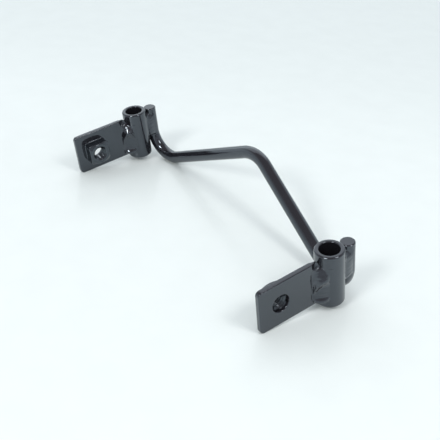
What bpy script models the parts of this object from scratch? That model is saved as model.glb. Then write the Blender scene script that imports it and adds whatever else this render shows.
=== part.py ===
"""Windscreen bracket: two spacer tubes joined by a bent bar, each with a welded tab and a square weld nut.

Everything is in metres. +Z runs along the tubes, and z = 0 is their lower end. +X runs from the left tube
to the right one, and the origin is midway between their axes. The tabs reach towards -Y, and the bar is on
the +Y side.
"""

import math

import bmesh
import bpy
from mathutils import Matrix, Vector

# Clearance between pieces that touch on the real bracket
SEAT_GAP = 0.0003

# Spacer tubes
TUBE_SPACING = 0.1985
TUBE_DIAMETER = 0.016
TUBE_BORE = 0.011
TUBE_LENGTH = 0.0332
TUBE_RIM_ROUND = 0.0009
TUBE_BORE_ROUND = 0.0005
TUBE_SIDES = 48

# Bent bar: its knees are below the tubes, and its apex is midway between them
BAR_DIAMETER = 0.008
BAR_END_SETBACK = 0.0017
BAR_KNEE_DROP = 0.0106
BAR_KNEE_RADIUS = 0.0163
BAR_APEX_OFFSET = 0.0295
BAR_APEX_HEIGHT = 0.0332
BAR_APEX_RADIUS = 0.0252
BAR_END_ROUND = 0.0006
BAR_BEND_STEP = math.radians(7)
BAR_BEVEL_RESOLUTION = 10

# Tabs: plate standing edge-on to each tube, halfway up it
TAB_THICKNESS = 0.003
TAB_REACH = 0.0464
TAB_WIDTH = 0.0268
TAB_CORNER_RADIUS = 0.0025
TAB_EDGE_ROUND = 0.0003
TAB_HOLE = 0.0104
TAB_CORNER_STEPS = 6
HOLE_SIDES = 40

# Square weld nuts: the hole is as far from the tab's end as from its long edges
NUT_FLATS = 0.014
NUT_HEIGHT = 0.0065
NUT_EDGE_ROUND = 0.0008
NUT_FACE_DIAMETER = 0.0134
NUT_CHAMFER_ANGLE = math.radians(30)
NUT_BORE = 0.0067
NUT_BORE_MOUTH = 0.0100
NUT_MOUTH_DEPTH = 0.0016

# Welds between a tab and its tube: the legs are measured along the tab and round the tube
TAB_WELD_LEG = 0.0052
TAB_WELD_WRAP_LOW = 0.0070
TAB_WELD_WRAP_HIGH = 0.0050
TAB_WELD_SWELL = 0.0011
TAB_WELD_HOLLOW = 0.0006
TAB_WELD_SHOULDER_LOW = 0.0092
TAB_WELD_SHOULDER_HIGH = 0.0162
TAB_WELD_START = 0.0004
TAB_WELD_STOP = 0.0030

# Welds in the grooves between a tube and the bar's end: measured round the tube and round the bar
BAR_WELD_TUBE_WRAP = 0.0048
BAR_WELD_BAR_WRAP = 0.0052
BAR_WELD_SWELL = 0.0003
BAR_WELD_STOP = 0.0026

WELD_END_LENGTH = 0.0028
WELD_END_SHARE = 0.35
WELD_LEVELS = 18
WELD_WALL_STEPS = 5
WELD_FACE_STEPS = 7

# Gloss black paint
BLACK = (0.013, 0.014, 0.016)
SMOOTH_PAINT = 0.2
WELD_PAINT = 0.26
NUT_PAINT = 0.28

SMOOTH_ANGLE = math.radians(35)
BEVEL_ANGLE = math.radians(50)
MERGE_DISTANCE = 0.000001
CUTTER_OVERRUN = 0.002

TUBE_RADIUS = TUBE_DIAMETER / 2
BAR_RADIUS = BAR_DIAMETER / 2
BAR_END_Y = TUBE_RADIUS + SEAT_GAP + BAR_RADIUS
BAR_TOP = TUBE_LENGTH - BAR_END_SETBACK
TAB_MIDDLE = TUBE_LENGTH / 2
TAB_BOTTOM = TAB_MIDDLE - TAB_WIDTH / 2
TAB_TOP = TAB_MIDDLE + TAB_WIDTH / 2
HOLE_Y = -(TAB_REACH - TAB_WIDTH / 2)


def clear_scene():
    for obj in list(bpy.data.objects):
        bpy.data.objects.remove(obj)


def new_collection(name):
    collection = bpy.data.collections.new(name)
    bpy.context.scene.collection.children.link(collection)
    return collection


def black_paint(name, roughness):
    material = bpy.data.materials.new(name)
    material.use_nodes = True
    shader = material.node_tree.nodes["Principled BSDF"]
    shader.inputs["Base Color"].default_value = (*BLACK, 1.0)
    shader.inputs["Roughness"].default_value = roughness
    shader.inputs["Metallic"].default_value = 0.0
    material.diffuse_color = (*BLACK, 1.0)
    material.roughness = roughness
    return material


def add_object(name, mesh, collection, matrix=None):
    obj = bpy.data.objects.new(name, mesh)
    collection.objects.link(obj)
    if matrix is not None:
        obj.matrix_world = matrix
    return obj


def add_cutter(name, mesh, matrix):
    cutter = add_object(name, mesh, cutters, matrix)
    cutter.hide_render = True
    cutter.display_type = "WIRE"
    return cutter


def add_boolean(obj, operand, operation):
    modifier = obj.modifiers.new(operand.name, "BOOLEAN")
    modifier.operation = operation
    modifier.solver = "EXACT"
    modifier.object = operand


def add_bevel(obj, width, segments):
    modifier = obj.modifiers.new("rounded edges", "BEVEL")
    modifier.width = width
    modifier.segments = segments
    modifier.limit_method = "ANGLE"
    modifier.angle_limit = BEVEL_ANGLE


def finish_piece(obj, roughness):
    obj.data.shade_smooth()
    obj.data.set_sharp_from_angle(angle=SMOOTH_ANGLE)
    obj.data.materials.append(black_paint(obj.name + "_paint", roughness))


def mesh_from_curve(curve_object):
    """The curve as one closed mesh, with its caps welded to its sides. The curve itself goes."""
    bpy.context.view_layer.update()
    graph = bpy.context.evaluated_depsgraph_get()
    mesh = bpy.data.meshes.new_from_object(curve_object.evaluated_get(graph))
    bm = bmesh.new()
    bm.from_mesh(mesh)
    bmesh.ops.remove_doubles(bm, verts=bm.verts, dist=MERGE_DISTANCE)
    bmesh.ops.recalc_face_normals(bm, faces=bm.faces)
    bm.to_mesh(mesh)
    bm.free()
    bpy.data.objects.remove(curve_object)
    return mesh


def turned_mesh(name, profile, sides):
    """The solid that the (radius, height) profile sweeps round Z. A point on the axis closes it."""
    bm = bmesh.new()
    points = [bm.verts.new((radius, 0.0, height)) for radius, height in profile]
    edges = [bm.edges.new(pair) for pair in zip(points, points[1:])]
    if min(radius for radius, _ in profile) > 0:
        edges.append(bm.edges.new((points[-1], points[0])))
    bmesh.ops.spin(
        bm,
        geom=points + edges,
        axis=(0, 0, 1),
        cent=(0, 0, 0),
        angle=math.tau,
        steps=sides,
        use_merge=True,
    )
    bmesh.ops.remove_doubles(bm, verts=bm.verts, dist=MERGE_DISTANCE)
    bmesh.ops.recalc_face_normals(bm, faces=bm.faces)
    mesh = bpy.data.meshes.new(name)
    bm.to_mesh(mesh)
    bm.free()
    return mesh


def quarter_round(centre, radius, start, steps=3):
    """Points of a quarter circle from the start angle, turning clockwise."""
    angles = [start - math.pi / 2 * i / steps for i in range(steps + 1)]
    return [
        (centre[0] + radius * math.cos(a), centre[1] + radius * math.sin(a))
        for a in angles
    ]


def tube_profile():
    """Half section of a spacer tube, from its outer top rim down the outside and up the bore."""
    bore = TUBE_BORE / 2
    outer = TUBE_RADIUS - TUBE_RIM_ROUND
    inner = bore + TUBE_BORE_ROUND
    return (
        quarter_round((outer, TUBE_LENGTH - TUBE_RIM_ROUND), TUBE_RIM_ROUND, math.pi / 2)
        + quarter_round((outer, TUBE_RIM_ROUND), TUBE_RIM_ROUND, 0)
        + quarter_round((inner, TUBE_BORE_ROUND), TUBE_BORE_ROUND, -math.pi / 2, 1)
        + quarter_round((inner, TUBE_LENGTH - TUBE_BORE_ROUND), TUBE_BORE_ROUND, -math.pi, 1)
    )


def make_tube(name, x):
    mesh = turned_mesh(name, tube_profile(), TUBE_SIDES)
    tube = add_object(name, mesh, bracket, Matrix.Translation((x, 0, 0)))
    finish_piece(tube, SMOOTH_PAINT)


def bend(before, corner, after, radius):
    """Points of the arc that rounds a corner of the bar's path."""
    towards_before = (before - corner).normalized()
    towards_after = (after - corner).normalized()
    half_opening = towards_before.angle(towards_after) / 2
    turn = math.pi - 2 * half_opening
    bisector = (towards_before + towards_after).normalized()
    centre = corner + bisector * radius / math.sin(half_opening)
    start = corner + towards_before * radius / math.tan(half_opening) - centre
    axis = towards_after.cross(towards_before).normalized()
    steps = math.ceil(turn / BAR_BEND_STEP)
    return [
        centre + Matrix.Rotation(turn * i / steps, 3, axis) @ start
        for i in range(steps + 1)
    ]


def bar_path():
    half = TUBE_SPACING / 2
    apex = Vector((0, BAR_APEX_OFFSET, BAR_APEX_HEIGHT))
    ends = [Vector((side * half, BAR_END_Y, BAR_TOP)) for side in (-1, 1)]
    knees = [Vector((side * half, BAR_END_Y, -BAR_KNEE_DROP)) for side in (-1, 1)]
    return (
        [ends[0]]
        + bend(ends[0], knees[0], apex, BAR_KNEE_RADIUS)
        + bend(knees[0], apex, knees[1], BAR_APEX_RADIUS)
        + bend(apex, knees[1], ends[1], BAR_KNEE_RADIUS)
        + [ends[1]]
    )


def make_cross_bar():
    path = bar_path()
    curve = bpy.data.curves.new("cross_bar_path", "CURVE")
    curve.dimensions = "3D"
    curve.bevel_depth = BAR_RADIUS
    curve.bevel_resolution = BAR_BEVEL_RESOLUTION
    curve.use_fill_caps = True
    spline = curve.splines.new("POLY")
    spline.points.add(len(path) - 1)
    for point, place in zip(spline.points, path):
        point.co = (*place, 1.0)
    mesh = mesh_from_curve(add_object("bar_route", curve, bracket))
    bar = add_object("cross_bar", mesh, bracket)
    add_bevel(bar, BAR_END_ROUND, 2)
    finish_piece(bar, SMOOTH_PAINT)


def tab_outline():
    """The tab seen from the side, with its four corners rounded: across is its reach, up is its height."""
    radius = TAB_CORNER_RADIUS
    root = TUBE_RADIUS + SEAT_GAP + radius
    end = TAB_REACH - radius
    top, bottom = TAB_TOP - radius, TAB_BOTTOM + radius
    corners = ((root, top), (end, top), (end, bottom), (root, bottom))
    outline = []
    for i, corner in enumerate(corners):
        outline += quarter_round(corner, radius, math.pi - i * math.pi / 2, TAB_CORNER_STEPS)
    return outline


def tab_mesh(name):
    """A plate on the curve's X and Y, as thick as the tab."""
    curve = bpy.data.curves.new(name + "_outline", "CURVE")
    curve.dimensions = "2D"
    curve.fill_mode = "BOTH"
    curve.extrude = TAB_THICKNESS / 2
    outline = tab_outline()
    spline = curve.splines.new("POLY")
    spline.points.add(len(outline) - 1)
    for point, (across, up) in zip(spline.points, outline):
        point.co = (across, up, 0.0, 1.0)
    spline.use_cyclic_u = True
    return mesh_from_curve(add_object(name + "_plate", curve, bracket))


def along_x(x, y, z, direction):
    """A frame at a place on a tab, whose own Z points along world X in the direction given."""
    return Matrix.Translation((x, y, z)) @ Matrix.Rotation(direction * math.pi / 2, 4, "Y")


def make_tab(name, x):
    # The outline's X turns to world -Y, its Y to world Z, and its thickness lies along world X.
    upright = Matrix(((0, 0, -1), (-1, 0, 0), (0, 1, 0))).to_4x4()
    tab = add_object(name, tab_mesh(name), bracket, Matrix.Translation((x, 0, 0)) @ upright)
    depth = TAB_THICKNESS / 2 + CUTTER_OVERRUN
    profile = [(0, depth), (TAB_HOLE / 2, depth), (TAB_HOLE / 2, -depth), (0, -depth)]
    drill = turned_mesh(name + "_hole", profile, HOLE_SIDES)
    hole = add_cutter(name + "_hole", drill, along_x(x, HOLE_Y, TAB_MIDDLE, 1))
    add_boolean(tab, hole, "DIFFERENCE")
    add_bevel(tab, TAB_EDGE_ROUND, 1)
    finish_piece(tab, SMOOTH_PAINT)


def nut_envelope():
    """Profile of the cone that rounds the nut's end face off its corners."""
    face = NUT_FACE_DIAMETER / 2
    wide = NUT_FLATS
    drop = (wide - face) * math.tan(NUT_CHAMFER_ANGLE)
    return [
        (0, NUT_HEIGHT),
        (face, NUT_HEIGHT),
        (wide, NUT_HEIGHT - drop),
        (wide, -NUT_HEIGHT),
        (0, -NUT_HEIGHT),
    ]


def nut_bore():
    """Profile of the bore, opened to a cone at both mouths."""
    bore = NUT_BORE / 2
    slope = (NUT_BORE_MOUTH / 2 - bore) / NUT_MOUTH_DEPTH
    wide = NUT_BORE_MOUTH / 2 + CUTTER_OVERRUN * slope
    top = NUT_HEIGHT + CUTTER_OVERRUN
    return [
        (0, top),
        (wide, top),
        (bore, NUT_HEIGHT - NUT_MOUTH_DEPTH),
        (bore, NUT_MOUTH_DEPTH),
        (wide, -CUTTER_OVERRUN),
        (0, -CUTTER_OVERRUN),
    ]


def make_nut(name, tab_x, direction):
    """A nut on the face of the tab that looks in the direction given along X."""
    seat = tab_x + direction * (TAB_THICKNESS / 2 + SEAT_GAP)
    place = along_x(seat, HOLE_Y, TAB_MIDDLE, direction)
    bm = bmesh.new()
    size = Matrix.Diagonal((NUT_FLATS, NUT_FLATS, NUT_HEIGHT, 1))
    bmesh.ops.create_cube(bm, size=1, matrix=Matrix.Translation((0, 0, NUT_HEIGHT / 2)) @ size)
    mesh = bpy.data.meshes.new(name)
    bm.to_mesh(mesh)
    bm.free()
    nut = add_object(name, mesh, bracket, place)
    add_bevel(nut, NUT_EDGE_ROUND, 2)
    for part, profile, operation in (
        ("_cone", nut_envelope(), "INTERSECT"),
        ("_bore", nut_bore(), "DIFFERENCE"),
    ):
        cutter = add_cutter(name + part, turned_mesh(name + part, profile, HOLE_SIDES), place)
        add_boolean(nut, cutter, operation)
    finish_piece(nut, NUT_PAINT)


def on_circle(centre_y, radius, angle):
    """The point of a circle at an angle from its -Y side, turning towards +X."""
    return Vector((radius * math.sin(angle), centre_y - radius * math.cos(angle)))


def face_line(start, end, swell):
    """Points between two toes of a weld, on a shallow arch that stands out to the right by the swell."""
    along = end - start
    outward = Vector((along.y, -along.x)).normalized()
    shares = [i / (WELD_FACE_STEPS + 1) for i in range(1, WELD_FACE_STEPS + 1)]
    return [start + along * s + outward * 4 * swell * s * (1 - s) for s in shares]


def end_taper(height, low, high):
    """How much of its full size a weld has at a height: it rounds off towards both ends."""
    inside = min(height - low, high - height, WELD_END_LENGTH) / WELD_END_LENGTH
    return WELD_END_SHARE + (1 - WELD_END_SHARE) * math.sqrt(1 - (1 - inside) ** 2)


def tab_weld_section(height, low, high):
    """Section of the weld on one side of a tab: swollen low down, hollow near the top."""
    taper = end_taper(height, low, high)
    above = height - low - TAB_WELD_SHOULDER_LOW
    rise = min(1, max(0, above / (TAB_WELD_SHOULDER_HIGH - TAB_WELD_SHOULDER_LOW)))
    lowness = (1 + math.cos(math.pi * rise)) / 2
    wall = TUBE_RADIUS + SEAT_GAP
    tab_face = TAB_THICKNESS / 2 + SEAT_GAP
    root_angle = math.asin(tab_face / wall)
    arc = TAB_WELD_WRAP_HIGH + (TAB_WELD_WRAP_LOW - TAB_WELD_WRAP_HIGH) * lowness
    wrap = arc * taper / wall
    toe = Vector((tab_face, -TUBE_RADIUS - TAB_WELD_LEG * taper))
    tube_toe = on_circle(0, wall, root_angle + wrap)
    angles = [root_angle + wrap * i / WELD_WALL_STEPS for i in range(WELD_WALL_STEPS + 1)]
    swell = (TAB_WELD_SWELL + TAB_WELD_HOLLOW) * lowness - TAB_WELD_HOLLOW
    face = face_line(toe, tube_toe, swell * taper)
    return [toe] + face + [on_circle(0, wall, a) for a in reversed(angles)]


def bar_weld_section(height, low, high):
    """Section of the weld in the groove between a tube and the bar's end."""
    taper = end_taper(height, low, high)
    wall = TUBE_RADIUS + SEAT_GAP
    bar_wall = BAR_RADIUS + SEAT_GAP
    root_y = (BAR_END_Y**2 + wall**2 - bar_wall**2) / (2 * BAR_END_Y)
    root_angle = math.acos(-root_y / wall)
    bar_root_angle = math.acos((BAR_END_Y - root_y) / bar_wall)
    wrap = BAR_WELD_TUBE_WRAP * taper / wall
    bar_wrap = BAR_WELD_BAR_WRAP * taper / bar_wall
    shares = [i / WELD_WALL_STEPS for i in range(WELD_WALL_STEPS + 1)]
    tube_side = [on_circle(0, wall, root_angle - wrap * s) for s in shares]
    bar_side = [on_circle(BAR_END_Y, bar_wall, bar_root_angle + bar_wrap * s) for s in shares]
    face = face_line(tube_side[-1], bar_side[-1], BAR_WELD_SWELL * taper)
    return tube_side + face + bar_side[:0:-1]


def loft(name, section, low, high):
    """A closed solid through the sections at evenly spaced heights, in the tube's own X and Y."""
    bm = bmesh.new()
    rings = []
    for i in range(WELD_LEVELS):
        height = low + (high - low) * i / (WELD_LEVELS - 1)
        rings.append([bm.verts.new((p.x, p.y, height)) for p in section(height, low, high)])
    for lower, upper in zip(rings, rings[1:]):
        for i in range(len(lower)):
            j = (i + 1) % len(lower)
            bm.faces.new((lower[i], lower[j], upper[j], upper[i]))
    bm.faces.new(list(reversed(rings[0])))
    bm.faces.new(rings[-1])
    bmesh.ops.recalc_face_normals(bm, faces=bm.faces)
    mesh = bpy.data.meshes.new(name)
    bm.to_mesh(mesh)
    bm.free()
    return mesh


def turn_inside_out(mesh):
    bm = bmesh.new()
    bm.from_mesh(mesh)
    bmesh.ops.reverse_faces(bm, faces=bm.faces)
    bm.to_mesh(mesh)
    bm.free()


def make_weld(name, section, low, high, x, direction):
    """A weld on the side of a tube that looks in the direction given along X."""
    mesh = loft(name, section, low, high)
    mesh.transform(Matrix.Diagonal((direction, 1, 1, 1)))
    if direction < 0:
        turn_inside_out(mesh)
    weld = add_object(name, mesh, bracket, Matrix.Translation((x, 0, 0)))
    finish_piece(weld, WELD_PAINT)


def knee_top():
    """Height at which the bar's upright end runs into its knee."""
    rise = BAR_APEX_HEIGHT + BAR_KNEE_DROP
    leg = Vector((TUBE_SPACING / 2, BAR_APEX_OFFSET - BAR_END_Y, rise))
    opening = Vector((0, 0, 1)).angle(leg)
    return BAR_KNEE_RADIUS / math.tan(opening / 2) - BAR_KNEE_DROP


def make_side(name, side):
    """Everything at one end of the bar: side is -1 on the left and 1 on the right."""
    x = side * TUBE_SPACING / 2
    make_tube(name + "_tube", x)
    make_tab(name + "_tab", x)
    make_nut(name + "_weld_nut", x, -side)
    for where, direction in (("inner", -side), ("outer", side)):
        make_weld(
            name + "_tab_weld_" + where,
            tab_weld_section,
            TAB_BOTTOM + TAB_WELD_START,
            TAB_TOP - TAB_WELD_STOP,
            x,
            direction,
        )
        make_weld(
            name + "_bar_weld_" + where,
            bar_weld_section,
            knee_top(),
            BAR_TOP - BAR_WELD_STOP,
            x,
            direction,
        )


clear_scene()
bracket = new_collection("windscreen_bracket")
cutters = new_collection("cutters")
make_cross_bar()
make_side("left", -1)
make_side("right", 1)
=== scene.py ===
"""The looks of the windscreen bracket: welded steel under gloss black paint, on a pale studio floor.

Everything is in metres, in the frame of the CAD model: +Z along the two tubes, +X from the left tube to the
right one, and +Y from the tabs to the bent bar. Each weld is shaped in its tube's own frame, where x runs
from the tube's axis towards the weld's side.
"""

import math

import bpy
import numpy as np
from mathutils import Matrix, Vector


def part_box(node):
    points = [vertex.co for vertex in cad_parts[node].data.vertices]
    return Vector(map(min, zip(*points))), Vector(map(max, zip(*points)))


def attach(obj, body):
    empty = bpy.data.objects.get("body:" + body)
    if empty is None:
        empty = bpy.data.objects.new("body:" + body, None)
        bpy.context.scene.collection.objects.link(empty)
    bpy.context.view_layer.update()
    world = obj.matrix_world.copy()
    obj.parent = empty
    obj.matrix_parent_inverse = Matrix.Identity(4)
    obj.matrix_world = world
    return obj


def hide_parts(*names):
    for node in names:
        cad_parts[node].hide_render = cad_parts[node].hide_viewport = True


TAU = math.tau
# Stands in for zero where a value is divided by
TINY = 1e-6
# Flat faces start this far from the round edges, so that they shade flat
FLAT_MARGIN = 0.00006

# Tubes: the sizes that the CAD nodes' boxes don't give
TUBE_BORE = 0.011
TUBE_RIM_ROUND = 0.0010
TUBE_BORE_ROUND = 0.0006
TUBE_SEGMENTS = 160
TUBE_WALL_STEPS = 12
TUBE_RIM_STEPS = 8
TUBE_LIP_STEPS = 6

# Bar
BAR_END_SETBACK = 0.0017
BAR_KNEE_DROP = 0.0106
BAR_KNEE_RADIUS = 0.0163
BAR_APEX_OFFSET = 0.0295
BAR_APEX_HEIGHT = 0.0332
BAR_APEX_RADIUS = 0.0252
BAR_END_ROUND = 0.0007
BAR_SEGMENTS = 72
BAR_STEP = 0.004
BAR_RIM_STEPS = 7
BEND_STEP = math.radians(2.5)

# Tabs
TAB_CORNER_RADIUS = 0.0025
TAB_EDGE_ROUND = 0.00045
TAB_HOLE = 0.0104
TAB_CORNER_STEPS = 12
TAB_EDGE_STEPS = 6
TAB_RUN_STEPS = 70
TAB_FACE_STEPS = 60
# The rings on a face crowd towards the outline by this power
TAB_FACE_CROWDING = 1.6
# The round of the corners that are buried in the tube's wall
BURIED_ROUND = 0.0008

# The hollow that is melted into each face of a tab, beside the tube and above the weld's shelf
CRATER_DEPTH = 0.00138
CRATER_OFFSET = 0.0100
CRATER_REACH = 0.0028
CRATER_RISE = 0.0028
CRATER_TALL = 0.0036
CRATER_POWER = 0.8

# Nuts
NUT_FACE_DIAMETER = 0.0134
NUT_CHAMFER_ANGLE = math.radians(30)
NUT_CHAMFER_ROUND = 0.0006
NUT_CORNER_ROUND = 0.0016
NUT_FOOT_ROUND = 0.0004
NUT_FOOT_STEPS = 6
NUT_BORE_MOUTH = 0.0100
NUT_SEGMENTS = 192
# The rows are finer above this share of the height, where the chamfer lies
NUT_PLAIN_SHARE = 0.6
NUT_PLAIN_ROWS = 10
NUT_CHAMFER_ROWS = 40
NUT_FACE_STEPS = 4
THREAD_DIAMETER = 0.008
THREAD_PITCH = 0.00125
THREAD_DEPTH = 0.0006
THREAD_ROUND = 0.0002
THREAD_ROWS = 190
SEAT_GAP = 0.0003

# How finely the welds' surfaces are found
WELD_ROWS = 180
WELD_COLUMNS = 80
RAY_SAMPLES = 60
RAY_HALVINGS = 30
# A weld's skin runs out this far under the surfaces of the metal that it joins
SKIN_SINK = 0.00002
# Ripples in all the beads: their height, and each wave's share of it, rate along the bead, rate across it
# and shift by the seed
RIPPLE = 0.00006
RIPPLE_WAVES = ((0.5, 2300, 2.1, 1.0), (0.3, 3900, -3.4, 1.7), (0.2, 900, 7.0, 2.3))

# Welds between tubes and tabs. They reach along the tab, wrap round the tube by an angle in degrees,
# and start a little above the tab's lower edge.
TAB_WELD_REACH = 0.0048
TAB_WELD_WRAP = 50
TAB_WELD_START = 0.0018
TAB_WELD_START_ROUND = 0.0012
TAB_WELD_TOE_ROUND = 0.0004
TAB_CORNER_BLEND = 0.0005
TAB_SEED_RATE = 9000
# The ridge's height above the tab's lower edge, where it peaks across the weld, and how fast it falls
ARCHES = {
    ("left", "inner"): (0.0182, 0.60, 0.020),
    ("left", "outer"): (0.0172, 0.55, 0.017),
    ("right", "inner"): (0.0176, 0.55, 0.018),
    ("right", "outer"): (0.0168, 0.72, 0.014),
}
# Relief over the line between the toes, with the lip's fade measured from the tab's lower edge
RIDGE_HEIGHT = 0.0024
RIDGE_ROUND = 0.0007
BULGE_POWER = 0.80
HOLLOW_POWER = 1.0
THROAT_DEPTH = 0.0016
DISH_DEPTH = 0.0017
DISH_LENGTH = 0.0048
LIP_HEIGHT = 0.0013
LIP_LOW = 0.0034
LIP_HIGH = 0.0054
# The shelf that closes the weld's top, above the tab's lower edge, and its rise to the tube
SHELF_HEIGHT = 0.0230
SHELF_RISE = 0.0020
SHELF_ROUND = 0.0006
SHELF_STEPS = 14
SHELF_HUB = 0.1
# Rays that find the weld: their core, in shares of the tab's half thickness and the tube's radius, and the
# curve that they sweep, whose last place lies some degrees past the toe
TAB_CORE = (0.6, 0.93)
TAB_SWEEP_START = 0.0068
TAB_SWEEP_MIDDLE = (0.0036, -0.0080)
TAB_SWEEP_PAST_TOE = 10
TAB_RAY_REACH = 0.012

# Welds between tubes and bar: wrap round each in degrees, with all heights measured down from the bar's end
BAR_WELD_WRAP = 44
BAR_WELD_BAR_WRAP = 94
BAR_WELD_HOLLOW = 0.0022
BAR_WELD_HOLLOW_TOP = 0.0020
BAR_WELD_HOLLOW_FOOT = 0.0075
BAR_WELD_HOLLOW_POWER = 1.5
BAR_WELD_SWELL = 0.0004
BAR_WELD_SWELL_TOP = 0.0060
BAR_WELD_SWELL_FOOT = 0.0110
BAR_WELD_TOP = 0.0022
BAR_WELD_FOOT = 0.0195
BAR_WELD_END_SLOPE = 1.3
BAR_WELD_END_ROUND = 0.0028
BAR_WELD_TOE_ROUND = 0.0005
BAR_CORNER_BLEND = 0.0004
BAR_SEED_RATE = 40
# Rays that find the weld: their first and last row, and their core and sweep. The core and the sweep's start
# are in shares of the tube's radius, and its end is in shares of the bar's.
BAR_ROWS_TOP = 0.0003
BAR_ROWS_FOOT = 0.0225
BAR_CORE = 0.985
BAR_SWEEP_START = (0.80, 0.60)
BAR_SWEEP_MIDDLE = (0.0030, 0.0086)
BAR_SWEEP_END = (0.98, 0.2)
BAR_RAY_REACH = 0.009
# The part of the bar's path that lies this near to a tube's axis shapes the weld there
BAR_WELD_NEIGHBOURHOOD = 0.02

# Paints: darkest and lightest colour, roughness and depth of the orange peel
PAINTS = {
    "black_paint": ((0.010, 0.0095, 0.012), (0.015, 0.0145, 0.018), 0.10, 0.000006),
    "weld_paint": ((0.010, 0.0095, 0.012), (0.015, 0.0145, 0.018), 0.12, 0.000012),
    "nut_paint": ((0.006, 0.007, 0.009), (0.010, 0.012, 0.015), 0.14, 0.000008),
}
PAINT_IOR = 1.88
PAINT_TINT = (0.78, 0.89, 1.0)
# The lowest and highest roughness, as shares of the paint's own
SHEEN_RANGE = (0.8, 1.25)
# Scale and detail of the noises behind the paint's colour, sheen and orange peel
CLOUD_NOISE = (90, 3)
SHEEN_NOISE = (260, 4)
PEEL_NOISE = (520, 2)
# Most of a noise's values lie between these
NOISE_LOW = 0.3
NOISE_HIGH = 0.7

# Camera: the photograph's viewpoint, in degrees and metres, with the lens and sensor in millimetres
CAMERA_AZIMUTH = 58.54
CAMERA_ELEVATION = 36.33
CAMERA_ROLL = -6.10
CAMERA_DISTANCE = 0.38253
CAMERA_TARGET = Vector((0.06054, -0.03848, 0.04852))
CAMERA_SENSOR = 36.0
CAMERA_LENS = 62.28
CAMERA_CLIP = (0.01, 50)

# Floor: a faintly glossy paper. Its tilt is searched for in degrees.
FLOOR_SIZE = 8.0
FLOOR_COLOUR = (0.81, 0.86, 0.86)
FLOOR_MOTTLE = 0.012
FLOOR_NOISE = (45, 3)
FLOOR_SHEEN = 0.25
FLOOR_ROUGHNESS = 0.22
TILT_LIMIT = 30
TILT_TRIES = 2401

# Room: soft light, what the camera sees beyond the floor, and what glossy surfaces mirror
SOFT_COLOUR = (0.92, 0.97, 1.0)
SOFT_STRENGTH = 0.66
BACKGROUND_COLOUR = (0.84, 0.90, 0.91)
WALL_COLOUR = (0.80, 0.88, 0.92)
CEILING_COLOUR = (0.28, 0.245, 0.255)
# How much of the wall's colour is left behind the camera
FRONT_SHARE = 0.4
# On a sphere of radius 1: where the wall is palest, how far it fades to each side, and the heights between
# which it fades into the ceiling
WALL_DIRECTION = (-0.853, 0.522, 0)
WALL_TURN = 0.6
WALL_TOP = 0.26
CEILING_START = 0.80

# Lamps: place, width, height, power in watts and colour
LAMPS = {
    "lamp_right": ((0.62, 0.22, 0.72), 0.26, 0.26, 2.2, (1.0, 0.98, 0.96)),
    "lamp_front": ((0.34, -0.90, 1.0), 0.30, 0.30, 6.4, (1.0, 0.99, 0.97)),
    "lamp_behind": ((-0.98, 0.60, 0.86), 1.9, 1.2, 5.2, (0.95, 0.98, 1.0)),
}
LAMP_AIM = Vector((0, 0, 0.01))


def stops(low, high, steps):
    return np.linspace(low, high, steps + 1)


def smooth_step(value, low, high):
    share = np.clip((value - low) / (high - low), 0, 1)
    return share * share * (3 - 2 * share)


def soft_min(a, b, width):
    """The smaller of two fields, with the crease between them rounded over the width."""
    overlap = np.maximum(width - np.abs(a - b), 0) / width
    return np.minimum(a, b) - overlap**2 * width / 4


def soft_max(a, b, width):
    return -soft_min(-a, -b, width)


def arc(centre, radius, start, end, steps):
    """Points of an arc in a plane, with the angles in degrees."""
    angles = np.radians(np.linspace(start, end, steps + 1))
    return [(centre[0] + radius * math.cos(a), centre[1] + radius * math.sin(a)) for a in angles]


def grid_faces(rows, columns, wrap_rows, wrap_columns):
    """Quads between neighbouring points of a grid, as an array of four indices each."""
    i = np.arange(rows if wrap_rows else rows - 1)
    j = np.arange(columns if wrap_columns else columns - 1)
    i, j = np.meshgrid(i, j, indexing="ij")
    below, right = (i + 1) % rows, (j + 1) % columns
    corners = [i * columns + j, i * columns + right, below * columns + right, below * columns + j]
    return np.stack([c.ravel() for c in corners], axis=1)


def signed_volume(points, faces):
    """Six times the volume that the quads enclose, which is negative where they face inwards."""
    a, b, c, d = (points[faces[:, k]] for k in range(4))
    first = np.einsum("ij,ij->i", a, np.cross(b, c))
    second = np.einsum("ij,ij->i", a, np.cross(c, d))
    return (first + second).sum()


def mesh_piece(name, points, faces):
    """A smooth closed mesh object."""
    mesh = bpy.data.meshes.new(name)
    mesh.from_pydata(list(map(tuple, points)), [], [tuple(map(int, f)) for f in faces])
    mesh.validate()
    mesh.shade_smooth()
    piece = bpy.data.objects.new(name, mesh)
    bpy.context.scene.collection.objects.link(piece)
    return piece


def ring_piece(name, points):
    """A closed mesh from a grid that wraps both ways, such as a turned tube or a plate round its hole."""
    rows, columns, _ = points.shape
    flat = points.reshape(-1, 3)
    faces = grid_faces(rows, columns, True, True)
    if signed_volume(flat, faces) < 0:
        faces = faces[:, ::-1]
    return mesh_piece(name, flat, faces)


class Tube:
    """The size and place of one spacer tube, read from its CAD node."""

    def __init__(self, side):
        low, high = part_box(side + "_tube")
        self.x = (low.x + high.x) / 2
        self.radius = (high.x - low.x) / 2
        self.bottom, self.top = low.z, high.z


class Tab:
    """The size and place of one tab, read from its CAD node."""

    def __init__(self, side):
        low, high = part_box(side + "_tab")
        self.x = (low.x + high.x) / 2
        self.half = (high.x - low.x) / 2
        self.end = low.y
        self.bottom, self.top = low.z, high.z
        self.middle = (low.z + high.z) / 2
        self.hole_y = low.y + (high.z - low.z) / 2


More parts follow.
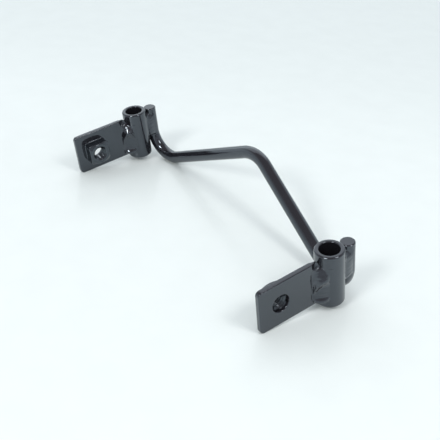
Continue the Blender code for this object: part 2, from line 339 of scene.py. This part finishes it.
def make_tube(side):
    """A turned tube: its section, from the top's rim down the outside and up the bore, run round its axis."""
    tube = Tube(side)
    outer, rim = tube.radius, TUBE_RIM_ROUND
    inner, lip = TUBE_BORE / 2, TUBE_BORE_ROUND
    low, high = tube.bottom, tube.top
    profile = []
    profile += arc((outer - rim, high - rim), rim, 90, 0, TUBE_RIM_STEPS)
    profile += [(outer, z) for z in stops(high - rim - FLAT_MARGIN, low + rim + FLAT_MARGIN, TUBE_WALL_STEPS)]
    profile += arc((outer - rim, low + rim), rim, 0, -90, TUBE_RIM_STEPS)
    profile += [(outer - rim - FLAT_MARGIN, low), (inner + lip + FLAT_MARGIN, low)]
    profile += arc((inner + lip, low + lip), lip, -90, -180, TUBE_LIP_STEPS)
    profile += [(inner, z) for z in stops(low + lip + FLAT_MARGIN, high - lip - FLAT_MARGIN, TUBE_WALL_STEPS)]
    profile += arc((inner + lip, high - lip), lip, 180, 90, TUBE_LIP_STEPS)
    profile += [(inner + lip + FLAT_MARGIN, high), (outer - rim - FLAT_MARGIN, high)]
    radius, height = (values[:, None] for values in np.array(profile).T)
    angles = np.arange(TUBE_SEGMENTS) * TAU / TUBE_SEGMENTS
    around = [tube.x + radius * np.cos(angles), radius * np.sin(angles), height + 0 * angles]
    return ring_piece(side + "_tube_finish", np.stack(around, axis=2))


def bar_radius():
    low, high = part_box("cross_bar")
    return (high.x - low.x - (Tube("right").x - Tube("left").x)) / 2


def bend(before, corner, after, radius):
    """Points of the arc that rounds a corner of the bar's path."""
    towards_before = (before - corner).normalized()
    towards_after = (after - corner).normalized()
    half_opening = towards_before.angle(towards_after) / 2
    turn = math.pi - 2 * half_opening
    bisector = (towards_before + towards_after).normalized()
    centre = corner + bisector * radius / math.sin(half_opening)
    start = corner + towards_before * radius / math.tan(half_opening) - centre
    axis = towards_after.cross(towards_before).normalized()
    steps = math.ceil(turn / BEND_STEP)
    return [centre + Matrix.Rotation(turn * i / steps, 3, axis) @ start for i in range(steps + 1)]


def straight(start, end, step):
    """Points between two places, without the places themselves."""
    count = max(1, round((end - start).length / step))
    return [start.lerp(end, i / count) for i in range(1, count)]


def bar_path():
    """The bar's centreline, from the top of its left end to the top of its right end."""
    left, right = Tube("left"), Tube("right")
    end_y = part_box("cross_bar")[0].y + bar_radius()
    apex = Vector(((left.x + right.x) / 2, BAR_APEX_OFFSET, BAR_APEX_HEIGHT))
    ends = [Vector((tube.x, end_y, tube.top - BAR_END_SETBACK)) for tube in (left, right)]
    knees = [Vector((tube.x, end_y, -BAR_KNEE_DROP)) for tube in (left, right)]
    arcs = [
        bend(ends[0], knees[0], apex, BAR_KNEE_RADIUS),
        bend(knees[0], apex, knees[1], BAR_APEX_RADIUS),
        bend(apex, knees[1], ends[1], BAR_KNEE_RADIUS),
    ]
    path = [ends[0]]
    for points in arcs + [[ends[1]]]:
        path += straight(path[-1], points[0], BAR_STEP) + points
    return path


def make_bar():
    """A round bar swept along its path, with rounded rims at its cut ends."""
    path = np.array(bar_path())
    radius, rim = bar_radius(), BAR_END_ROUND
    tangents = np.gradient(path, axis=0)
    tangents[0], tangents[-1] = path[1] - path[0], path[-1] - path[-2]
    tangents /= np.linalg.norm(tangents, axis=1)[:, None]

    # Each end's rings, from its flat face on, as depth along the bar and what they lack of its radius
    quarter = np.radians(stops(90, 0, BAR_RIM_STEPS))
    end = [(0, rim + FLAT_MARGIN)] + [(rim * (1 - math.sin(a)), rim * (1 - math.cos(a))) for a in quarter]
    stations = [(path[0] + tangents[0] * depth, radius - lack, tangents[0]) for depth, lack in end]
    stations += [(place, radius, tangent) for place, tangent in zip(path[1:-1], tangents[1:-1])]
    stations += [(path[-1] - tangents[-1] * depth, radius - lack, tangents[-1]) for depth, lack in end[::-1]]

    across = np.array((1.0, 0.0, 0.0))
    angles = np.arange(BAR_SEGMENTS)[:, None] * TAU / BAR_SEGMENTS
    rings = []
    for centre, size, tangent in stations:
        across = across - tangent * (across @ tangent)
        across /= np.linalg.norm(across)
        other = np.cross(tangent, across)
        rings.append(centre + size * (np.cos(angles) * across + np.sin(angles) * other))
    points = np.concatenate(rings)
    faces = grid_faces(len(rings), BAR_SEGMENTS, False, True)[:, ::-1].tolist()
    faces.append(list(range(BAR_SEGMENTS)))
    faces.append(list(range(len(points) - BAR_SEGMENTS, len(points)))[::-1])
    return mesh_piece("cross_bar_finish", points, faces)


def corner_arc(centre, radius, start, end):
    """The points of an outline's round corner and the way that each of them faces."""
    return arc(centre, radius, start, end, TAB_CORNER_STEPS), arc((0, 0), 1, start, end, TAB_CORNER_STEPS)


def between(start, end, steps):
    """Evenly spaced points of a straight run, without its ends."""
    start, end = np.array(start), np.array(end)
    return [tuple(start * (1 - share) + end * share) for share in stops(0, 1, steps)[1:-1]]


def tab_outline(tab, tube):
    """A tab's outline, seen from the side, and the way that each of its points faces."""
    radius = TAB_CORNER_RADIUS
    upper, lower = tab.top - radius, tab.bottom + radius
    free, root = tab.end + radius, -tube.radius - radius
    buried = -(tube.radius + TUBE_BORE / 2) / 2 - BURIED_ROUND
    turns = [
        corner_arc((free, upper), radius, 180, 90),
        corner_arc((root, upper), radius, 90, 0),
        corner_arc((buried, upper - BURIED_ROUND), BURIED_ROUND, 90, 0),
        corner_arc((buried, lower + BURIED_ROUND), BURIED_ROUND, 0, -90),
        corner_arc((root, lower), radius, 0, -90),
        corner_arc((free, lower), radius, -90, -180),
    ]
    outline, normals = [], []
    for (places, facing), (next_places, next_facing) in zip(turns, turns[1:] + turns[:1]):
        run = between(places[-1], next_places[0], TAB_RUN_STEPS)
        outline += places + run
        normals += facing + [next_facing[0]] * len(run)
    return np.array(outline), np.array(normals)


def crater_depth(y, z, tab):
    """How far each face of a tab is melted in beside the tube, above its welds."""
    middle_z = tab.bottom + SHELF_HEIGHT + CRATER_RISE
    distance = np.hypot((y + CRATER_OFFSET) / CRATER_REACH, (z - middle_z) / CRATER_TALL)
    return CRATER_DEPTH * np.clip(1 - distance, 0, 1) ** CRATER_POWER


def make_tab(side):
    """A plate with rounded corners and edges, as a grid that runs round its hole."""
    tab = Tab(side)
    outline, normals = tab_outline(tab, Tube(side))
    centre = np.array((tab.hole_y, tab.middle))
    outward = outline - centre
    outward /= np.linalg.norm(outward, axis=1)[:, None]
    rim = TAB_EDGE_ROUND

    def edge_ring(inset):
        return outline - normals * inset

    def hole_ring(outset):
        return centre + outward * (TAB_HOLE / 2 + outset)

    start, end = edge_ring(rim + FLAT_MARGIN), hole_ring(rim + FLAT_MARGIN)
    quarter = np.radians(stops(0, 90, TAB_EDGE_STEPS))
    across_face = stops(0, 1, TAB_FACE_STEPS) ** TAB_FACE_CROWDING
    half = [(edge_ring(rim * (1 - math.cos(a))), tab.half - rim * (1 - math.sin(a))) for a in quarter]
    half += [(start * (1 - share) + end * share, tab.half) for share in across_face]
    half += [(hole_ring(rim * (1 - math.cos(a))), tab.half - rim * (1 - math.sin(a))) for a in quarter[::-1]]
    rings = []
    for ring, depth in half + [(ring, -depth) for ring, depth in half[::-1]]:
        thinned = depth * (1 - crater_depth(ring[:, 0], ring[:, 1], tab) / tab.half)
        rings.append(np.column_stack([tab.x + thinned, ring]))
    return ring_piece(side + "_tab_finish", np.array(rings))


def make_nut(side):
    """A square nut with a turned end face and a threaded bore, as a grid that runs round its axis."""
    tab = Tab(side)
    low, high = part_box(side + "_weld_nut")
    inward = 1 if (low.x + high.x) / 2 > tab.x else -1
    seat_x = tab.x + inward * tab.half
    height = max(abs(low.x - seat_x), abs(high.x - seat_x))
    half_flat = (high.y - low.y) / 2
    angles = np.arange(NUT_SEGMENTS) * TAU / NUT_SEGMENTS
    cosine, sine = np.abs(np.cos(angles)), np.abs(np.sin(angles))
    flats = [half_flat / np.maximum(part, TINY) for part in (cosine, sine)]
    square = soft_min(*flats, NUT_CORNER_ROUND * 2)
    slope = math.tan(NUT_CHAMFER_ANGLE)
    face = NUT_FACE_DIAMETER / 2
    rings = []

    def add(radius, along):
        radius = radius + 0 * angles
        x = np.full(NUT_SEGMENTS, seat_x) + inward * along
        y, z = tab.hole_y + radius * np.cos(angles), tab.middle + radius * np.sin(angles)
        rings.append(np.column_stack([x, y, z]))

    foot = NUT_FOOT_ROUND
    add(square + foot, -SEAT_GAP)
    for a in np.radians(stops(0, 90, NUT_FOOT_STEPS)):
        add(square + foot * (1 - math.sin(a)), foot * (1 - math.cos(a)))
    plain = stops(foot, height * NUT_PLAIN_SHARE, NUT_PLAIN_ROWS)[1:]
    chamfered = stops(height * NUT_PLAIN_SHARE, height, NUT_CHAMFER_ROWS)[1:]
    for along in np.concatenate([plain, chamfered]):
        cone = face + (height - along) / slope
        add(soft_min(square, cone, NUT_CHAMFER_ROUND), along)
    for radius in stops(face - FLAT_MARGIN, NUT_BORE_MOUTH / 2 + FLAT_MARGIN, NUT_FACE_STEPS):
        add(radius, height)
    for along in stops(height, -SEAT_GAP, THREAD_ROWS):
        turns = along / THREAD_PITCH - angles / TAU * inward
        phase = turns - np.floor(turns)
        crest = np.abs(phase * 2 - 1)
        thread = THREAD_DIAMETER / 2 - THREAD_DEPTH * (0.5 - 0.5 * np.cos(math.pi * crest))
        mouth = NUT_BORE_MOUTH / 2 - (height - along)
        exit_cone = NUT_BORE_MOUTH / 2 - (along + SEAT_GAP)
        add(soft_max(soft_max(thread, mouth, THREAD_ROUND), exit_cone, THREAD_ROUND), along)
    return ring_piece(side + "_weld_nut_finish", np.array(rings))


def box_distance(offsets, halves, rounding):
    """Distance to a box with rounded edges, from offsets to its middle along each of its axes."""
    q = [np.abs(o) - h + rounding for o, h in zip(offsets, halves)]
    outside = np.sqrt(sum(np.maximum(k, 0) ** 2 for k in q))
    inside = np.minimum(np.maximum.reduce(q), 0)
    return outside + inside - rounding


def tube_distance(x, y, z, tube):
    middle = (tube.bottom + tube.top) / 2
    halves = (tube.radius, (tube.top - tube.bottom) / 2)
    return box_distance((np.hypot(x, y), z - middle), halves, TUBE_RIM_ROUND)


def tab_distance(x, y, z, tab):
    halves = (tab.half, -tab.end / 2, (tab.top - tab.bottom) / 2)
    return box_distance((x, y - tab.end / 2, z - tab.middle), halves, TAB_EDGE_ROUND)


def path_distance(x, y, z, path):
    """Distance to the bar's centreline."""
    best = np.full(np.broadcast(x, y, z).shape, np.inf)
    for start, end in zip(path, path[1:]):
        run = end - start
        away = [value - at for value, at in zip((x, y, z), start)]
        share = np.clip(sum(a * r for a, r in zip(away, run)) / (run @ run), 0, 1)
        best = np.minimum(best, sum((a - share * r) ** 2 for a, r in zip(away, run)))
    return np.sqrt(best)


class Chord:
    """The straight line between a weld's two toes, seen from above."""

    def __init__(self, start, end):
        self.start = start
        self.length = math.dist(start, end)
        self.along = ((end[0] - start[0]) / self.length, (end[1] - start[1]) / self.length)

    def share(self, x, y):
        """0 at the first toe and 1 at the second."""
        rx, ry = x - self.start[0], y - self.start[1]
        return np.clip((rx * self.along[0] + ry * self.along[1]) / self.length, 0, 1)

    def outside(self, x, y):
        """How far a place lies from the line, on the side away from the metal."""
        rx, ry = x - self.start[0], y - self.start[1]
        return rx * self.along[1] - ry * self.along[0]


def ripple(share, z, seed):
    """Slow uneven waves, as a hand-laid bead has under thick paint."""
    waves = 0
    for height, along, across, shift in RIPPLE_WAVES:
        waves = waves + height * np.sin(z * along + share * across + seed * shift)
    return waves


def sweep(core, start, middle, end):
    """Unit directions from a weld's core to places along a curve that runs from one wall to the other."""
    share = stops(0, 1, WELD_COLUMNS)[:, None]
    start, middle, end = np.array(start), np.array(middle), np.array(end)
    targets = start * (1 - share) ** 2 + middle * 2 * share * (1 - share) + end * share**2
    directions = targets - np.array(core)
    return directions / np.linalg.norm(directions, axis=1)[:, None]


def surface_on_rays(field, core, directions, heights, reach):
    """Where rays that leave a vertical line first meet the field's solid, coming in from outside."""
    z = heights[:, None] + 0 * directions[:, 0]
    dx, dy = directions[:, 0], directions[:, 1]

    def solid_at(t):
        return field(core[0] + t * dx, core[1] + t * dy, z) < 0

    outer = np.full(z.shape, reach)
    inner = np.zeros(z.shape)
    found = np.zeros(z.shape, bool)
    for t in stops(reach, 0, RAY_SAMPLES)[1:]:
        solid = solid_at(np.full(z.shape, t))
        new = solid & ~found
        inner = np.where(new, t, inner)
        outer = np.where(new, t + reach / RAY_SAMPLES, outer)
        found |= solid
    for _ in range(RAY_HALVINGS):
        middle = (outer + inner) / 2
        solid = solid_at(middle)
        inner = np.where(solid, middle, inner)
        outer = np.where(solid, outer, middle)
    t = (inner + outer) / 2
    return np.stack([core[0] + t * dx, core[1] + t * dy, z], axis=2)


def skin_piece(name, surface, core, tube_x, direction):
    """A closed wedge whose outer face is the weld's surface and whose other faces are hidden in the metal."""
    spine = [[(*core, row[0, 2])] for row in surface]
    points = np.concatenate([surface, spine], axis=1)
    rows, columns, _ = points.shape
    points = points.reshape(-1, 3)
    points[:, 0] = tube_x + direction * points[:, 0]
    faces = grid_faces(rows, columns, False, True).tolist()
    hub, top = columns - 1, (rows - 1) * columns
    for k in range(hub - 1):
        faces.append([k + 1, k, hub])
        faces.append([top + k, top + k + 1, top + hub])
    if direction > 0:
        faces = [f[::-1] for f in faces]
    return mesh_piece(name, points, faces)


def bead_height(share, z, low, arch):
    """How far a tab weld stands out from the line between its toes, halfway along that line.

    It is a shallow dish with a lip below, under an arch-shaped ridge, and from the ridge its roof slopes back
    upwards to the shelf.
    """
    crest, peak, fall = arch
    ridge = crest - fall * (share - peak) ** 2
    below = low + ridge - z
    roof = RIDGE_HEIGHT + (RIDGE_HEIGHT + THROAT_DEPTH) * below / (SHELF_HEIGHT - ridge)
    dish = RIDGE_HEIGHT - DISH_DEPTH * smooth_step(below, 0, DISH_LENGTH)
    lip = LIP_HEIGHT * (1 - smooth_step(z - low, LIP_LOW, LIP_HIGH))
    return soft_min(roof, dish + lip, RIDGE_ROUND)


def shelf_rows(surface, core):
    """Rows that close the top of a weld's surface towards its core, as a hollow that rises to the tube."""
    top = surface[-1]
    hub = np.array((*core, top[0, 2]))
    lift = np.array((0, 0, SHELF_RISE))
    shares = stops(1, SHELF_HUB, SHELF_STEPS)[1:]
    return np.array([hub + (top - hub) * share + lift * (1 - share) ** 2 for share in shares])


def make_tab_weld(side, where, direction):
    """The weld between a tube and one face of its tab, with a hollow shelf at its upper end."""
    tube, tab = Tube(side), Tab(side)
    low = tab.bottom
    wrap = math.radians(TAB_WELD_WRAP)
    toe = (tab.half, -tube.radius - TAB_WELD_REACH)
    tube_toe = (tube.radius * math.sin(wrap), -tube.radius * math.cos(wrap))
    chord = Chord(toe, tube_toe)
    arch = ARCHES[side, where]
    seed = arch[0] * TAB_SEED_RATE

    def field(x, y, z):
        walls = soft_min(tube_distance(x, y, z, tube), tab_distance(x, y, z, tab), TAB_CORNER_BLEND)
        share = chord.share(x, y)
        spread = 4 * share * (1 - share)
        height = bead_height(share, z, low, arch) + RIPPLE * ripple(share, z, seed)
        face = chord.outside(x, y) - height * np.where(height > 0, spread**BULGE_POWER, spread**HOLLOW_POWER)
        bead = soft_max(face, z - low - SHELF_HEIGHT, SHELF_ROUND)
        bead = soft_max(bead, low + TAB_WELD_START - z, TAB_WELD_START_ROUND)
        return soft_min(walls + SKIN_SINK, bead, TAB_WELD_TOE_ROUND)

    core = (tab.half * TAB_CORE[0], -tube.radius * TAB_CORE[1])
    last = wrap + math.radians(TAB_SWEEP_PAST_TOE)
    start = (tab.half, -tube.radius - TAB_SWEEP_START)
    end = (math.sin(last) * tube.radius, -math.cos(last) * tube.radius)
    directions = sweep(core, start, TAB_SWEEP_MIDDLE, end)
    heights = stops(low + TAB_EDGE_ROUND, low + SHELF_HEIGHT - SHELF_ROUND / 4, WELD_ROWS)
    surface = surface_on_rays(field, core, directions, heights, TAB_RAY_REACH)
    surface = np.concatenate([surface, shelf_rows(surface, core)])
    return skin_piece(f"{side}_tab_weld_{where}_finish", surface, core, tube.x, direction)


def make_bar_weld(side, where, direction):
    """The weld that fills the groove between a tube and the bar's upright end, hollowed towards its top."""
    tube = Tube(side)
    radius = bar_radius()
    path = bar_path() if side == "left" else bar_path()[::-1]
    near = [p for p in path if abs(p.x - tube.x) < BAR_WELD_NEIGHBOURHOOD]
    local = [np.array((direction * (p.x - tube.x), p.y, p.z)) for p in near]
    end_y, top = local[0][1], local[0][2]

    wrap, bar_wrap = math.radians(BAR_WELD_WRAP), math.radians(BAR_WELD_BAR_WRAP)
    on_tube = (tube.radius * math.sin(wrap), tube.radius * math.cos(wrap))
    on_bar = (radius * math.sin(bar_wrap), end_y - radius * math.cos(bar_wrap))
    chord = Chord(on_tube, on_bar)
    seed = tube.x * BAR_SEED_RATE + direction

    def field(x, y, z):
        bar = np.maximum(path_distance(x, y, z, local) - radius, z - top)
        walls = soft_min(tube_distance(x, y, z, tube), bar, BAR_CORNER_BLEND) + SKIN_SINK
        share = chord.share(x, y)
        spread = 4 * share * (1 - share)
        upper = smooth_step(z, top - BAR_WELD_HOLLOW_FOOT, top - BAR_WELD_HOLLOW_TOP) ** BAR_WELD_HOLLOW_POWER
        lower = smooth_step(top - z, BAR_WELD_SWELL_TOP, BAR_WELD_SWELL_FOOT)
        hollow = BAR_WELD_HOLLOW * upper - BAR_WELD_SWELL * lower - RIPPLE * ripple(share, z, seed)
        ends = np.maximum(top - BAR_WELD_FOOT - z, z - top + BAR_WELD_TOP) * BAR_WELD_END_SLOPE
        bead = soft_max(chord.outside(x, y) + hollow * spread, ends, BAR_WELD_END_ROUND)
        return soft_min(walls, bead, BAR_WELD_TOE_ROUND)

    core = (0.0, tube.radius * BAR_CORE)
    start = (tube.radius * BAR_SWEEP_START[0], tube.radius * BAR_SWEEP_START[1])
    end = (radius * BAR_SWEEP_END[0], end_y + radius * BAR_SWEEP_END[1])
    directions = sweep(core, start, BAR_SWEEP_MIDDLE, end)
    heights = stops(top - BAR_ROWS_FOOT, top - BAR_ROWS_TOP, WELD_ROWS)
    surface = surface_on_rays(field, core, directions, heights, BAR_RAY_REACH)
    return skin_piece(f"{side}_bar_weld_{where}_finish", surface, core, tube.x, direction)


def link(tree, source, output, target, socket):
    tree.links.new(source.outputs[output], target.inputs[socket])


def new_material(name):
    """A material with nodes, as the material, its tree and its shader."""
    material = bpy.data.materials.new(name)
    material.use_nodes = True
    return material, material.node_tree, material.node_tree.nodes["Principled BSDF"]


def noise(tree, coordinates, scale, detail):
    node = tree.nodes.new("ShaderNodeTexNoise")
    node.inputs["Scale"].default_value = scale
    node.inputs["Detail"].default_value = detail
    link(tree, coordinates, "Object", node, "Vector")
    return node


def ranged(tree, source, output, span, results, smooth=False):
    """A node that maps the span of a source's values to the span of the results."""
    node = tree.nodes.new("ShaderNodeMapRange")
    if smooth:
        node.interpolation_type = "SMOOTHSTEP"
    node.inputs["From Min"].default_value, node.inputs["From Max"].default_value = span
    node.inputs["To Min"].default_value, node.inputs["To Max"].default_value = results
    link(tree, source, output, node, "Value")
    return node


def mixed_colour(tree, factor, output, first, second):
    node = tree.nodes.new("ShaderNodeMix")
    node.data_type = "RGBA"
    node.inputs["A"].default_value = (*first, 1)
    node.inputs["B"].default_value = (*second, 1)
    link(tree, factor, output, node, "Factor")
    return node


def mixed_shader(tree, factor, output, first, first_output, second, second_output):
    node = tree.nodes.new("ShaderNodeMixShader")
    link(tree, factor, output, node, "Fac")
    link(tree, first, first_output, node, 1)
    link(tree, second, second_output, node, 2)
    return node


def gloss_paint(name):
    """Sprayed gloss enamel: near black, with a faint orange peel and slight changes in its sheen."""
    dark, light, roughness, peel = PAINTS[name]
    material, tree, shader = new_material(name)
    coordinates = tree.nodes.new("ShaderNodeTexCoord")
    tint = mixed_colour(tree, noise(tree, coordinates, *CLOUD_NOISE), "Fac", dark, light)
    link(tree, tint, "Result", shader, "Base Color")
    rough_span = [roughness * share for share in SHEEN_RANGE]
    sheen = ranged(tree, noise(tree, coordinates, *SHEEN_NOISE), "Fac", (NOISE_LOW, NOISE_HIGH), rough_span)
    link(tree, sheen, "Result", shader, "Roughness")
    shader.inputs["IOR"].default_value = PAINT_IOR
    shader.inputs["Specular Tint"].default_value = (*PAINT_TINT, 1)
    bump = tree.nodes.new("ShaderNodeBump")
    bump.inputs["Strength"].default_value = 1.0
    bump.inputs["Distance"].default_value = peel
    link(tree, noise(tree, coordinates, *PEEL_NOISE), "Fac", bump, "Height")
    link(tree, bump, "Normal", shader, "Normal")
    return material


def dress(piece, node, material):
    piece.data.materials.append(material)
    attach(piece, "root")
    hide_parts(node)


def make_camera():
    azimuth, elevation = math.radians(CAMERA_AZIMUTH), math.radians(CAMERA_ELEVATION)
    level = math.cos(elevation)
    back = Vector((math.sin(azimuth) * level, -math.cos(azimuth) * level, math.sin(elevation)))
    data = bpy.data.cameras.new("camera")
    data.sensor_width = CAMERA_SENSOR
    data.lens = CAMERA_LENS
    data.clip_start, data.clip_end = CAMERA_CLIP
    camera = bpy.data.objects.new("camera", data)
    upright = (-back).to_track_quat("-Z", "Y")
    camera.rotation_mode = "QUATERNION"
    camera.rotation_quaternion = upright @ Matrix.Rotation(math.radians(CAMERA_ROLL), 3, "Z").to_quaternion()
    camera.location = CAMERA_TARGET + back * CAMERA_DISTANCE
    bpy.context.scene.collection.objects.link(camera)
    bpy.context.scene.camera = camera


def resting_plane(nodes):
    """Where the part touches a flat floor: a point of the plane and its normal, from the nodes' corners."""
    places = []
    for node in nodes:
        coordinates = np.empty(len(node.data.vertices) * 3)
        node.data.vertices.foreach_get("co", coordinates)
        places.append(coordinates.reshape(-1, 3)[:, 1:])
    places = np.concatenate(places)
    middle = places[:, 0].mean()
    best = None
    for tilt in np.radians(np.linspace(-TILT_LIMIT, TILT_LIMIT, TILT_TRIES)):
        normal = np.array((math.sin(tilt), math.cos(tilt)))
        depth = places @ normal
        front = depth[places[:, 0] < middle].min()
        behind = depth[places[:, 0] >= middle].min()
        if best is None or abs(front - behind) < best[0]:
            best = (abs(front - behind), min(front, behind), tilt)
    _, depth, tilt = best
    normal = Vector((0, math.sin(tilt), math.cos(tilt)))
    return normal * depth, normal


def floor_paper():
    """Pale paper with a faint sheen and mottling, clear from below so that a low view shows the part."""
    material, tree, shader = new_material("floor_paper")
    coordinates = tree.nodes.new("ShaderNodeTexCoord")
    cloud = ranged(tree, noise(tree, coordinates, *FLOOR_NOISE), "Fac", (NOISE_LOW, NOISE_HIGH), (0, 1))
    darker, lighter = ([c * share for c in FLOOR_COLOUR] for share in (1 - FLOOR_MOTTLE, 1 + FLOOR_MOTTLE))
    paper = mixed_colour(tree, cloud, "Result", darker, lighter)
    link(tree, paper, "Result", shader, "Base Color")
    shader.inputs["Roughness"].default_value = FLOOR_ROUGHNESS
    shader.inputs["Specular IOR Level"].default_value = FLOOR_SHEEN
    clear = tree.nodes.new("ShaderNodeBsdfTransparent")
    geometry = tree.nodes.new("ShaderNodeNewGeometry")
    mix = mixed_shader(tree, geometry, "Backfacing", shader, "BSDF", clear, "BSDF")
    link(tree, mix, "Shader", tree.nodes["Material Output"], "Surface")
    return material


def make_floor(nodes):
    point, normal = resting_plane(nodes)
    half = FLOOR_SIZE / 2
    corners = [(-half, -half, 0), (half, -half, 0), (half, half, 0), (-half, half, 0)]
    mesh = bpy.data.meshes.new("floor")
    mesh.from_pydata(corners, [], [(0, 1, 2, 3)])
    mesh.materials.append(floor_paper())
    floor = bpy.data.objects.new("floor", mesh)
    floor.rotation_mode = "QUATERNION"
    floor.rotation_quaternion = normal.to_track_quat("Z", "Y")
    floor.location = point
    bpy.context.scene.collection.objects.link(floor)


def make_lamp(name):
    place, width, height, power, colour = LAMPS[name]
    data = bpy.data.lights.new(name, "AREA")
    data.shape = "RECTANGLE"
    data.size, data.size_y = width, height
    data.energy = power
    data.color = colour
    lamp = bpy.data.objects.new(name, data)
    lamp.location = place
    lamp.rotation_mode = "QUATERNION"
    lamp.rotation_quaternion = (LAMP_AIM - Vector(place)).to_track_quat("-Z", "Y")
    bpy.context.scene.collection.objects.link(lamp)


def make_world():
    """A pale room. Reflections see a dim ceiling, a dim wall behind the camera and a pale one opposite."""
    world = bpy.data.worlds.new("studio")
    bpy.context.scene.world = world
    world.use_nodes = True
    tree = world.node_tree
    soft = tree.nodes["Background"]
    soft.inputs["Color"].default_value = (*SOFT_COLOUR, 1)
    soft.inputs["Strength"].default_value = SOFT_STRENGTH
    seen = tree.nodes.new("ShaderNodeBackground")
    seen.inputs["Color"].default_value = (*BACKGROUND_COLOUR, 1)

    coordinates = tree.nodes.new("ShaderNodeTexCoord")
    split = tree.nodes.new("ShaderNodeSeparateXYZ")
    link(tree, coordinates, "Generated", split, "Vector")
    height = ranged(tree, split, "Z", (WALL_TOP, CEILING_START), (1, 0), smooth=True)
    facing = tree.nodes.new("ShaderNodeVectorMath")
    facing.operation = "DOT_PRODUCT"
    facing.inputs[1].default_value = WALL_DIRECTION
    link(tree, coordinates, "Generated", facing, "Vector")
    side = ranged(tree, facing, "Value", (-WALL_TURN, WALL_TURN), (FRONT_SHARE, 1), smooth=True)
    wall = tree.nodes.new("ShaderNodeMath")
    wall.operation = "MULTIPLY"
    link(tree, height, "Result", wall, 0)
    link(tree, side, "Result", wall, 1)
    tone = mixed_colour(tree, wall, "Value", CEILING_COLOUR, WALL_COLOUR)
    mirrored = tree.nodes.new("ShaderNodeBackground")
    link(tree, tone, "Result", mirrored, "Color")

    path = tree.nodes.new("ShaderNodeLightPath")
    glossy = mixed_shader(tree, path, "Is Glossy Ray", soft, "Background", mirrored, "Background")
    mix = mixed_shader(tree, path, "Is Camera Ray", glossy, "Shader", seen, "Background")
    link(tree, mix, "Shader", tree.nodes["World Output"], "Surface")


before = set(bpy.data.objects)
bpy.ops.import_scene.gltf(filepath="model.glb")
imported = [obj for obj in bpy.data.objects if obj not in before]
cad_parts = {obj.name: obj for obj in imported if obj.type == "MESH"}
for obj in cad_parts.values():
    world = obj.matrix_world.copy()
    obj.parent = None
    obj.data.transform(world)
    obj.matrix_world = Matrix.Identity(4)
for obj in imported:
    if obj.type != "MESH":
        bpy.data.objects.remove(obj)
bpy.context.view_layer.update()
make_camera()

paint, weld_paint, nut_paint = map(gloss_paint, PAINTS)
dress(make_bar(), "cross_bar", paint)
for side, outward in (("left", -1), ("right", 1)):
    dress(make_tube(side), side + "_tube", paint)
    dress(make_tab(side), side + "_tab", paint)
    dress(make_nut(side), side + "_weld_nut", nut_paint)
    for where, direction in (("inner", -outward), ("outer", outward)):
        dress(make_tab_weld(side, where, direction), f"{side}_tab_weld_{where}", weld_paint)
        dress(make_bar_weld(side, where, direction), f"{side}_bar_weld_{where}", weld_paint)

make_floor(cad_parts.values())
make_world()
for name in LAMPS:
    make_lamp(name)

bpy.context.scene.view_settings.view_transform = "Standard"
